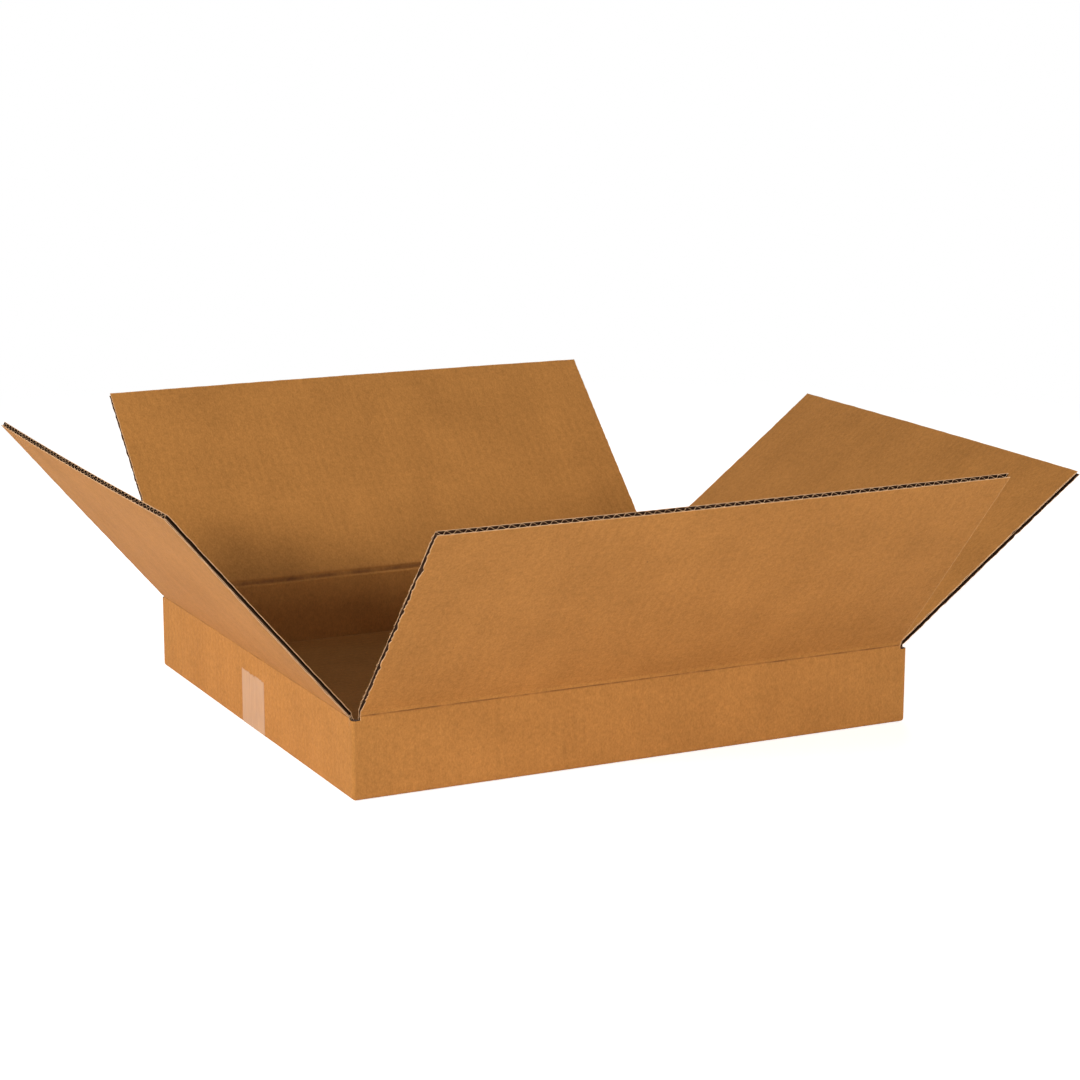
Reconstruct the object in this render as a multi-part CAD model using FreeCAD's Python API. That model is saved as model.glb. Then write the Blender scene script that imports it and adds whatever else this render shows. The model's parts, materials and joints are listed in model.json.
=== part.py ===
# A shallow regular slotted box of single-wall corrugated board. Its four bottom flaps are
# folded shut under one strip of tape, and its four top flaps stand splayed outward.
# All sizes are in millimetres. X runs along the box, Y from the front wall to the back wall
# and Z up. The origin is the middle of the underside, at the height of the table.

import FreeCAD, Part
import math
import os

from FreeCAD import Vector

# The room inside the closed box
INNER_LENGTH = 457.2
INNER_WIDTH = 406.4
INNER_HEIGHT = 50.8

# The board: two liners with a fluted medium glued between them
BOARD = 4.0
LINER = 0.3
MEDIUM = 0.25
FLUTE_PITCH = 7.8
GLUE_LINE = 1.2

# The blank's cuts and folds
SLOT_WIDTH = 8.0
MEETING_GAP = 1.0
FOLD_RADIUS = 2.5
CREASE_WIDTH = 8.0
PLY_GAP = 0.1
LID_GAP = 0.3
HINGE_GAP = 0.2
END_GAP = 0.5
RIM_BEVEL_DEG = 25.0

# How far in from a cut edge the flutes of the bottom flaps are hollow
BOTTOM_FLUTE_DEPTH = 25.0

# The glued tab that closes the ring of walls, inside the back wall at its right end
TAB_WIDTH = 35.0
TAB_THICKNESS = 3.0
TAB_MARGIN = 3.0
TAB_SLANT = 12.0

# The strip of tape along the bottom seam, turned up on both end walls
TAPE_WIDTH = 48.0
TAPE_THICKNESS = 0.1
TAPE_CLIMB = 45.0
TAPE_OFFSET = -7.5

# How far each top flap leans out from upright, as it stands
FRONT_LEAN_DEG = 40.9
BACK_LEAN_DEG = 46.2
LEFT_LEAN_DEG = 40.7
RIGHT_LEAN_DEG = 53.0

OUTER_LENGTH = INNER_LENGTH + 2 * BOARD
OUTER_WIDTH = INNER_WIDTH + 2 * BOARD

# The long flaps hang on the front and back walls, and the short flaps on the end walls.
# The short flaps fold first, so their crease is one board lower than the long flaps' crease.
FLOOR_TOP = 2 * BOARD + PLY_GAP
SHORT_AXIS_Z = FLOOR_TOP + INNER_HEIGHT + BOARD / 2
LONG_AXIS_Z = SHORT_AXIS_Z + BOARD + LID_GAP
LONG_AXIS_OFFSET = (INNER_WIDTH + BOARD) / 2
SHORT_AXIS_OFFSET = (INNER_LENGTH + BOARD) / 2
LONG_FLAP_WIDTH = INNER_LENGTH + BOARD - SLOT_WIDTH
SHORT_FLAP_WIDTH = INNER_WIDTH + BOARD - SLOT_WIDTH
FLAP_REACH = LONG_AXIS_OFFSET - MEETING_GAP / 2

# A rim is flat over its inner half and bevelled over its outer half. The slots end level
# with the bevel of the long rims.
RIM_DROP = BOARD / 2 * math.tan(math.radians(RIM_BEVEL_DEG))
SHORT_RIM_Z = SHORT_AXIS_Z - BOARD / 2 - HINGE_GAP
LONG_RIM_Z = LONG_AXIS_Z - BOARD / 2 - HINGE_GAP
CORNER_Z = LONG_RIM_Z - RIM_DROP

X_AXIS = Vector(1, 0, 0)
Z_AXIS = Vector(0, 0, 1)
ORIGIN = Vector(0, 0, 0)


class Side:
    """One side of the box: its turn about Z from the front, and what hangs on it."""

    def __init__(self, name, turn, lean, is_long):
        self.name = name
        self.turn = turn
        self.lean = lean
        self.width = LONG_FLAP_WIDTH if is_long else SHORT_FLAP_WIDTH
        self.axis_offset = LONG_AXIS_OFFSET if is_long else SHORT_AXIS_OFFSET
        self.axis_z = LONG_AXIS_Z if is_long else SHORT_AXIS_Z
        self.rim_z = LONG_RIM_Z if is_long else SHORT_RIM_Z
        self.floor_z = 0.0 if is_long else BOARD + PLY_GAP


SIDES = (
    Side("front", 0.0, FRONT_LEAN_DEG, True),
    Side("right", 90.0, RIGHT_LEAN_DEG, False),
    Side("back", 180.0, BACK_LEAN_DEG, True),
    Side("left", 270.0, LEFT_LEAN_DEG, False),
)


def prism(points, direction):
    """A solid: the closed outline through the points, carried along the direction."""
    outline = Part.makePolygon(points + points[:1])
    return Part.Face(outline).extrude(direction)


def block(low, high):
    """A box between its lowest and its highest corner."""
    size = high - low
    return Part.makeBox(size.x, size.y, size.z, low)


def flute_channels(width, near, far):
    """The hollows between the medium and the liners, from near to far along Y.

    The sheet lies in the XY plane, centred on the origin. Its width runs along X, and
    each hollow is a trapezoid that touches one liner. The hollows take turns above and
    below the medium, and the medium crosses the middle of the sheet at the left cut edge.
    """
    crest = BOARD / 2 - LINER
    trough = -crest + MEDIUM
    half_mouth = (FLUTE_PITCH - GLUE_LINE) / 2
    half_floor = GLUE_LINE / 2
    channels = []
    count = math.ceil(2 * width / FLUTE_PITCH) + 1
    for index in range(count):
        centre = -width / 2 + (index - 0.5) * FLUTE_PITCH / 2
        face = 1 if index % 2 else -1
        corners = (
            (-half_mouth, crest),
            (half_mouth, crest),
            (half_floor, trough),
            (-half_floor, trough),
        )
        points = [Vector(centre + x, near, face * z) for x, z in corners]
        channels.append(prism(points, Vector(0, far - near, 0)))
    return channels


def rounded_plate(width, near, far):
    """A sheet in the XY plane with a round edge of half its thickness about Y = near."""
    plate = block(Vector(-width / 2, near, -BOARD / 2), Vector(width / 2, far, BOARD / 2))
    nose = Part.makeCylinder(BOARD / 2, width, Vector(-width / 2, near, 0), X_AXIS)
    return plate.fuse(nose).removeSplitter()


def top_flap(side):
    """A top flap, hollow in its flutes from the crease out, leaning as it stands."""
    flap = rounded_plate(side.width, 0.0, FLAP_REACH)
    flap = flap.cut(flute_channels(side.width, CREASE_WIDTH, FLAP_REACH + BOARD))
    flap.rotate(ORIGIN, X_AXIS, 90.0 + side.lean)
    flap.translate(Vector(0, -side.axis_offset, side.axis_z))
    flap.rotate(ORIGIN, Z_AXIS, side.turn)
    return flap


def bottom_flap(side):
    """A bottom flap, folded in flat from its wall, with hollow flutes at its free edge."""
    free_edge = side.axis_offset - FLAP_REACH
    flap = block(
        Vector(-side.width / 2, free_edge, -BOARD / 2),
        Vector(side.width / 2, side.axis_offset, BOARD / 2),
    )
    flap = flap.cut(flute_channels(side.width, free_edge - BOARD, free_edge + BOTTOM_FLUTE_DEPTH))
    flap.rotate(ORIGIN, Z_AXIS, 180.0)
    flap.translate(Vector(0, 0, side.floor_z + BOARD / 2))
    flap.rotate(ORIGIN, Z_AXIS, side.turn)
    return flap


def rim(side):
    """The top of a wall between its two slots: flat, then bevelled towards the outside."""
    inner_y = -(side.axis_offset - BOARD / 2)
    middle_y = -side.axis_offset
    outer_y = -(side.axis_offset + BOARD / 2)
    start = -side.width / 2
    foot = side.rim_z - RIM_DROP - BOARD
    points = [
        Vector(start, inner_y, foot),
        Vector(start, inner_y, side.rim_z),
        Vector(start, middle_y, side.rim_z),
        Vector(start, outer_y, side.rim_z - RIM_DROP),
        Vector(start, outer_y, foot),
    ]
    strip = prism(points, Vector(side.width, 0, 0))
    strip.rotate(ORIGIN, Z_AXIS, side.turn)
    return strip


def rim_notch(side):
    """The room for a flap's root between the two corner posts of its wall."""
    half_width = side.width / 2 + END_GAP
    notch = block(
        Vector(-half_width, -side.axis_offset - BOARD, side.rim_z - RIM_DROP),
        Vector(half_width, -side.axis_offset + BOARD, side.rim_z + 2 * BOARD),
    )
    notch.rotate(ORIGIN, Z_AXIS, side.turn)
    return notch


def wall_ring():
    """The four walls up to the slots' floor, with round folds at the corners and the foot."""
    outer = block(
        Vector(-OUTER_LENGTH / 2, -OUTER_WIDTH / 2, 0),
        Vector(OUTER_LENGTH / 2, OUTER_WIDTH / 2, CORNER_Z),
    )
    folds = [edge for edge in outer.Edges if edge.BoundBox.ZMin < CORNER_Z - BOARD]
    outer = outer.makeFillet(FOLD_RADIUS, folds)
    inner = block(
        Vector(-INNER_LENGTH / 2, -INNER_WIDTH / 2, -BOARD),
        Vector(INNER_LENGTH / 2, INNER_WIDTH / 2, CORNER_Z + BOARD),
    )
    return outer.cut([inner] + [rim_notch(side) for side in SIDES])


def glue_tab():
    """The tab glued inside the back wall, with both ends cut on a slant."""
    face_y = INNER_WIDTH / 2
    root_x = INNER_LENGTH / 2
    low = FLOOR_TOP + TAB_MARGIN
    high = SHORT_RIM_Z - TAB_MARGIN
    points = [
        Vector(root_x, face_y, low),
        Vector(root_x, face_y, high),
        Vector(root_x - TAB_WIDTH, face_y, high - TAB_SLANT),
        Vector(root_x - TAB_WIDTH, face_y, low + TAB_SLANT),
    ]
    return prism(points, Vector(0, -TAB_THICKNESS, 0))


def tape_profile(spread):
    """The tape's line round the foot of both end walls, pushed outward by spread.

    With no spread it is the tape's inner face: one thickness above the table, and flat
    on the end walls.
    """
    wall_x = OUTER_LENGTH / 2 + spread
    arc_x = OUTER_LENGTH / 2 - FOLD_RADIUS
    floor_z = TAPE_THICKNESS - spread
    arc_z = TAPE_THICKNESS + FOLD_RADIUS
    reach = FOLD_RADIUS + spread
    diagonal = reach * math.sqrt(0.5)
    right_top = Vector(wall_x, 0, TAPE_CLIMB)
    right_wall = Vector(wall_x, 0, arc_z)
    right_middle = Vector(arc_x + diagonal, 0, arc_z - diagonal)
    right_floor = Vector(arc_x, 0, floor_z)
    left_floor = Vector(-arc_x, 0, floor_z)
    left_middle = Vector(-arc_x - diagonal, 0, arc_z - diagonal)
    left_wall = Vector(-wall_x, 0, arc_z)
    left_top = Vector(-wall_x, 0, TAPE_CLIMB)
    return [
        Part.LineSegment(left_top, left_wall).toShape(),
        Part.Arc(left_wall, left_middle, left_floor).toShape(),
        Part.LineSegment(left_floor, right_floor).toShape(),
        Part.Arc(right_floor, right_middle, right_wall).toShape(),
        Part.LineSegment(right_wall, right_top).toShape(),
    ]


def tape_band(spread):
    """A band from the tape's inner face outward by spread, as wide as the tape."""
    inner = tape_profile(0.0)
    outer = tape_profile(spread)
    ends = [
        Part.LineSegment(inner[0].Vertexes[0].Point, outer[0].Vertexes[0].Point).toShape(),
        Part.LineSegment(inner[-1].Vertexes[-1].Point, outer[-1].Vertexes[-1].Point).toShape(),
    ]
    outline = Part.Wire(Part.__sortEdges__(inner + outer + ends))
    band = Part.Face(outline).extrude(Vector(0, TAPE_WIDTH, 0))
    band.translate(Vector(0, TAPE_OFFSET - TAPE_WIDTH / 2, 0))
    return band


def box_body():
    """Walls, bottom flaps and tab as the one folded sheet that they are."""
    pieces = [rim(side) for side in SIDES]
    pieces += [bottom_flap(side) for side in SIDES]
    pieces.append(glue_tab())
    body = wall_ring().fuse(pieces).removeSplitter()
    return body.cut(tape_band(BOARD))


def export(shape, name):
    """Write one node's STEP file, and print what it measures."""
    solids = shape.Solids
    if len(solids) == 1:
        shape = solids[0]
    box = shape.BoundBox
    print(
        f"{name}: {len(solids)} solid, valid {shape.isValid()}, {shape.Volume / 1000:.1f} cm3,"
        f" x {box.XMin:.1f} {box.XMax:.1f}, y {box.YMin:.1f} {box.YMax:.1f},"
        f" z {box.ZMin:.2f} {box.ZMax:.1f}"
    )
    shape.exportStep(f"parts/{name}.step")


os.makedirs("parts", exist_ok=True)
export(box_body(), "box_body")
export(tape_band(TAPE_THICKNESS), "bottom_tape")
for box_side in SIDES:
    export(top_flap(box_side), f"{box_side.name}_flap")
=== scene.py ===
"""An open, shallow corrugated box with four splayed flaps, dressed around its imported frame.

The board is modelled as what it is: two kraft liners with a fluted medium between them. Every
board piece carries a UV map in metres, u round the box and v up the wall and out along the flap,
so that the paper's grain and the flutes run on over the folds.
"""

import json
import logging
import math
from dataclasses import dataclass, field
from enum import Enum
from typing import Any

import bpy
import numpy as np
from mathutils import Matrix, Vector
from numpy.typing import NDArray

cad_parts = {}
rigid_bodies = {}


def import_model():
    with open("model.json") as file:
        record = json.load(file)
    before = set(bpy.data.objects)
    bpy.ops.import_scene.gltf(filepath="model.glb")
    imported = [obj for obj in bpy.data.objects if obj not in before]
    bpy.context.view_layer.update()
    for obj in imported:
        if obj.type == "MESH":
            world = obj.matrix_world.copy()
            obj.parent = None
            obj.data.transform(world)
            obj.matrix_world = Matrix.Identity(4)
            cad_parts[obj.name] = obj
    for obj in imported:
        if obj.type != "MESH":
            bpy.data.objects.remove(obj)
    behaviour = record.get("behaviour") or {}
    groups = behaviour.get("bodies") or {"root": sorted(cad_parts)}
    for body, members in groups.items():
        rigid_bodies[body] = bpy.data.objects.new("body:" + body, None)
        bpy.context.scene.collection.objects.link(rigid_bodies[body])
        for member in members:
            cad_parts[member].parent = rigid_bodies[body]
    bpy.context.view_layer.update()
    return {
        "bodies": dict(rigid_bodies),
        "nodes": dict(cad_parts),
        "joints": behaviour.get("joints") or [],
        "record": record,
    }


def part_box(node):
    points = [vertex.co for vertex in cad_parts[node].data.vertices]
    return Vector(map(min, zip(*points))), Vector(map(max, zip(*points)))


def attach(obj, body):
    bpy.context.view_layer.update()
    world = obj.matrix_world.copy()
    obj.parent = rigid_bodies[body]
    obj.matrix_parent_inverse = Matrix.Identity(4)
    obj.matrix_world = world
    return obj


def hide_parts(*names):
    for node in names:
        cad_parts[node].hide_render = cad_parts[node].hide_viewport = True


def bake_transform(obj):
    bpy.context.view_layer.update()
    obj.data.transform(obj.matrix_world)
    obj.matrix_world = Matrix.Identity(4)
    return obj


Array = NDArray[np.float64]
Ints = NDArray[np.int64]
Colour = tuple[float, float, float]

LOG = logging.getLogger("box")
UP = np.array([0.0, 0.0, 1.0])
BODY = "box"
NOISE_KNOTS = 4096
SHARP_ANGLE = math.radians(38.0)

# The grid's first steps in from a cut edge, close together because the liner is torn there
EDGE_STEPS = np.array([0.0, 0.0004, 0.0011, 0.003])


class Slot(Enum):
    """The record's material slots."""

    BODY = "box_board"
    FLAP = "flap_board"
    TAPE = "tape_film"


class Face(Enum):
    """Which finish a face of a board piece takes: its place in the material list."""

    LINER = 0
    CUT = 1
    # The medium's finish: painted shade of the hollows between the liners
    MEDIUM_SHADE = 2


def value_noise(x: Array, spacing: float, seed: int) -> Array:
    """A smooth random curve between -1 and 1.

    Random heights stand at knots, and a smooth step joins each knot to the next.

    Args:
        x: Where to read the curve.
        spacing: The distance between knots, in the unit of x.
        seed: The seed of the heights.

    Returns:
        The curve's height at each x.
    """
    heights = np.random.default_rng(seed).uniform(-1.0, 1.0, NOISE_KNOTS)
    cell = np.floor(x / spacing).astype(np.int64)
    share = x / spacing - cell
    share = share * share * (3.0 - 2.0 * share)
    here, after = heights[cell % NOISE_KNOTS], heights[(cell + 1) % NOISE_KNOTS]
    return here * (1.0 - share) + after * share


def bell(x: Array, centre: float, half_width: float) -> Array:
    """A smooth bump of height 1 at centre that falls to 0 at half_width: (1 - q squared) squared."""
    q = np.clip((x - centre) / half_width, -1.0, 1.0)
    return (1.0 - q * q) ** 2


@dataclass
class MeshBuilder:
    """Gathers closed shells as arrays, and makes one mesh of them."""

    points: list[Array] = field(default_factory=list)
    quads: list[Ints] = field(default_factory=list)
    coords: list[Array] = field(default_factory=list)
    marks: list[Array] = field(default_factory=list)
    faces: list[Ints] = field(default_factory=list)
    total: int = 0

    def add(self, points: Array, coords: Array, marks: Array, quads: Ints, faces: Ints) -> None:
        """Adds one closed shell, turned so that its faces point outwards.

        The sum of each triangle's signed volume with the origin is negative where the faces
        point inwards, and then each quad is read backwards.

        Args:
            points: The corners, one row each.
            coords: The board coordinates of each corner.
            marks: How deep in the crease's painted shade, how frayed and how shaded each corner is.
            quads: Four corner numbers for each face.
            faces: The finish of each face.
        """
        p = points[quads] - points.mean(axis=0)
        first = np.einsum("ij,ij->i", p[:, 0], np.cross(p[:, 1], p[:, 2]))
        second = np.einsum("ij,ij->i", p[:, 0], np.cross(p[:, 2], p[:, 3]))
        if (first + second).sum() < 0.0:
            quads = quads[:, ::-1]
        self.points.append(points)
        self.coords.append(coords)
        self.marks.append(marks)
        self.quads.append(quads + self.total)
        self.faces.append(faces)
        self.total += len(points)

    def sheet(
        self,
        front: Array,
        back: Array,
        coords: Array,
        marks: Array,
        faces: tuple[Face, Face, Face],
    ) -> None:
        """Adds a thin closed sheet: two grids of the same shape, joined round their rim.

        Args:
            front: One face's grid of points, rows by columns by 3.
            back: The other face's grid.
            coords: The board coordinates of the grid, shared by both faces.
            marks: The marks of the grid, shared by both faces.
            faces: The finishes of the front, of the back and of the four edges.
        """
        rows, columns = front.shape[:2]
        index = np.arange(rows * columns).reshape(rows, columns)
        grid = np.stack(
            [index[:-1, :-1], index[:-1, 1:], index[1:, 1:], index[1:, :-1]], axis=-1
        ).reshape(-1, 4)
        ring = np.concatenate(
            [index[0, :-1], index[:-1, -1], index[-1, :0:-1], index[:0:-1, 0]]
        )
        after = np.roll(ring, -1)
        offset = rows * columns
        edge = np.stack([after, ring, ring + offset, after + offset], axis=-1)
        quads = np.concatenate([grid, grid[:, ::-1] + offset, edge])
        kinds = np.repeat([face.value for face in faces], [len(grid), len(grid), len(edge)])
        self.add(
            np.concatenate([front.reshape(-1, 3), back.reshape(-1, 3)]),
            np.tile(coords.reshape(-1, 2), (2, 1)),
            np.tile(marks.reshape(-1, 3), (2, 1)),
            quads,
            kinds,
        )

    def tube(self, points: Array, coords: Array, marks: Array, faces: Ints, closed: bool) -> None:
        """Adds a tube: closed section loops carried along a path.

        Args:
            points: Path steps by section corners by 3.
            coords: The board coordinates of the points.
            marks: The marks of the points.
            faces: The finish of each stretch of the section.
            closed: True if the path ends where it starts; otherwise each end gets a cap, for
                which the section's second half has to mirror its first half.
        """
        steps, corners = points.shape[:2]
        index = np.arange(steps * corners).reshape(steps, corners)
        along = np.concatenate([index, index[:1]]) if closed else index
        around = np.roll(along, -1, axis=1)
        quads = np.stack([along[:-1], around[:-1], around[1:], along[1:]], axis=-1).reshape(-1, 4)
        kinds = np.tile(faces, len(along) - 1)
        if not closed:
            half = corners // 2
            left = np.arange(half - 1)
            right = corners - 1 - left
            cap = np.stack([left, left + 1, right - 1, right], axis=-1)
            ends = np.concatenate([index[0][cap[:, ::-1]], index[-1][cap]])
            quads = np.concatenate([quads, ends])
            kinds = np.concatenate([kinds, np.full(len(ends), Face.CUT.value)])
        self.add(points.reshape(-1, 3), coords.reshape(-1, 2), marks.reshape(-1, 3), quads, kinds)

    def make(self, name: str, materials: list[bpy.types.Material]) -> bpy.types.Object:
        """Makes the mesh and its object, at the origin.

        Args:
            name: The piece's name.
            materials: The finishes, in the order of the faces' numbers.

        Returns:
            The new object.
        """
        points = np.concatenate(self.points)
        quads = np.concatenate(self.quads)
        coords = np.concatenate(self.coords)
        mesh = bpy.data.meshes.new(name)
        mesh.vertices.add(len(points))
        mesh.vertices.foreach_set("co", points.ravel())
        mesh.loops.add(quads.size)
        mesh.loops.foreach_set("vertex_index", quads.ravel())
        mesh.polygons.add(len(quads))
        mesh.polygons.foreach_set("loop_start", np.arange(0, quads.size, 4))
        mesh.update(calc_edges=True)
        mesh.uv_layers.new(name="board").data.foreach_set("uv", coords[quads].ravel())
        marks = mesh.attributes.new("marks", "FLOAT_VECTOR", "POINT")
        marks.data.foreach_set("vector", np.concatenate(self.marks).ravel())
        for material in materials:
            mesh.materials.append(material)
        mesh.polygons.foreach_set("material_index", np.concatenate(self.faces))
        mesh.shade_smooth()
        mesh.set_sharp_from_angle(angle=SHARP_ANGLE)
        mesh.validate()
        piece = bpy.data.objects.new(name, mesh)
        bpy.context.scene.collection.objects.link(piece)
        return piece


@dataclass(frozen=True)
class Board:
    """Single-wall corrugated board: two liners and a fluted medium, in metres."""

    thickness: float = 0.0040
    liner: float = 0.00045
    medium: float = 0.00034
    pitch: float = 0.0078
    samples: int = 10


@dataclass
class Side:
    """One wall with its flap: where its crease lies and which way it faces.

    The sheet's own coordinates are s along the crease, r up the wall and out along the flap
    with 0 at the hinge's axis, and t through the board, from the outer face to the inner one.
    """

    name: str
    pivot: Array
    along: Array
    outward: Array
    lean: float
    width: float
    reach: float
    start_u: float
    crease: float
    board: Board

    @classmethod
    def from_frame(cls, joint: dict[str, Any], start_u: float, crease: float, board: Board) -> "Side":
        """Reads a side from its joint and its flap's box.

        Args:
            joint: The crease's joint in the record.
            start_u: Where the middle of this side lies round the box.
            crease: Half the length of the bend.
            board: The board's section.

        Returns:
            The side.
        """
        low, high = (np.array(corner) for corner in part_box(joint["child"]))
        along = np.array(joint["axis"], float)
        lean = math.radians(-joint["range_deg"][0] - 90.0)
        pivot = np.array(joint["pos_m"], float)
        rise = high[2] - pivot[2] - board.thickness / 2 * math.sin(lean)
        return cls(
            name=joint["child"],
            pivot=pivot,
            along=along,
            outward=np.cross(along, UP),
            lean=lean,
            width=float(abs((high - low) @ along)),
            reach=float(rise / math.cos(lean)),
            start_u=start_u,
            crease=crease,
            board=board,
        )

    @property
    def is_long(self) -> bool:
        """True for the front and the back, whose creases run along the box's length."""
        return abs(self.along[0]) > 0.5

    def place(self, s: Array, r: Array, t: Array) -> Array:
        """Where a point of the sheet lies.

        The middle line runs straight up the wall, through a quadratic curve whose middle
        control point is the hinge's axis, and straight out along the flap.

        Args:
            s: Along the crease, from the middle of the side.
            r: Along the sheet from the axis: below 0 on the wall, above 0 on the flap.
            t: Through the board from its middle: above 0 towards the inside of the box.

        Returns:
            Points in the row frame.
        """
        bend = np.clip((r + self.crease) / (2.0 * self.crease), 0.0, 1.0)
        lean_sin, lean_cos = math.sin(self.lean), math.cos(self.lean)
        over = np.maximum(r - self.crease, 0.0)
        under = np.minimum(r + self.crease, 0.0)
        out = bend**2 * self.crease * lean_sin + over * lean_sin
        rise = self.crease * (bend**2 * lean_cos - (1.0 - bend) ** 2) + over * lean_cos + under
        step_out = bend * lean_sin
        step_up = 1.0 - bend + bend * lean_cos
        length = np.hypot(step_out, step_up)
        out = out - t * step_up / length
        rise = rise + t * step_out / length
        return (
            self.pivot
            + s[..., None] * self.along
            + out[..., None] * self.outward
            + rise[..., None] * UP
        )

    def coords(self, s: Array, r: Array) -> Array:
        """The board coordinates of a point of the sheet, in metres."""
        return np.stack([self.start_u + s, self.pivot[2] + r], axis=-1)


@dataclass
class Floor:
    """A bottom flap lying flat, in the same sheet coordinates as a side.

    Here r runs in from the wall's inner face, and t above 0 is towards the inside of the box.
    """

    side: Side
    height: float

    @property
    def reach(self) -> float:
        """The reach of the top flap on the same wall."""
        return self.side.reach

    def place(self, s: Array, r: Array, t: Array) -> Array:
        """Where a point of the flap lies: straight in from the wall, at the flap's height."""
        half = self.side.board.thickness / 2
        wall = self.side.pivot - self.side.outward * half
        root = np.array([wall[0], wall[1], self.height + half])
        return (
            root
            + s[..., None] * self.side.along
            - r[..., None] * self.side.outward
            + t[..., None] * UP
        )

    def coords(self, s: Array, r: Array) -> Array:
        """The board coordinates of a point of the flap: below the wall's foot."""
        return np.stack([self.side.start_u + s, -r], axis=-1)


@dataclass
class Fray:
    """How torn the cut edges of a flap are, in metres.

    The nick is a small tear in the low side's edge, at a distance out from the crease.
    """

    low_side: float = 0.00025
    high_side: float = 0.00025
    tip: float = 0.00018
    nick_at: float = 0.0
    nick_depth: float = 0.0
    nick_half: float = 0.0034


@dataclass
class Warp:
    """How far a flap has left its plane, in metres: each value is its greatest offset."""

    bow: float = 0.0
    curl: float = 0.0
    twist: float = 0.0

    def offset(self, s: Array, r: Array, width: float, reach: float) -> Array:
        """The sheet's offset towards the inside of the box.

        The bow is an arch along the crease that grows from the crease outward, the curl grows
        with the square of the distance from the crease, and the twist with both.

        Args:
            s: Along the crease.
            r: Out from the crease.
            width: The flap's width.
            reach: The flap's reach.

        Returns:
            The offsets.
        """
        across = 2.0 * s / width
        out = np.clip(r / reach, 0.0, 1.0)
        arch = self.bow * (1.0 - across**2) * out
        return arch + self.curl * out**2 + self.twist * across * out**2


@dataclass
class Score:
    """The crushed score inside a fold, and the fold line outside, in metres.

    Both lie a little below the hinge's axis on the long walls, as the photograph has them.
    """

    inner_depth: float = 0.0010
    inner_half: float = 0.0029
    inner_at: float = -0.0022
    outer_depth: float = 0.0006
    outer_half: float = 0.0011
    outer_at: float = -0.0030
    # How strongly the painted shade along the crease darkens the liner
    strength: float = 1.0


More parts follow.
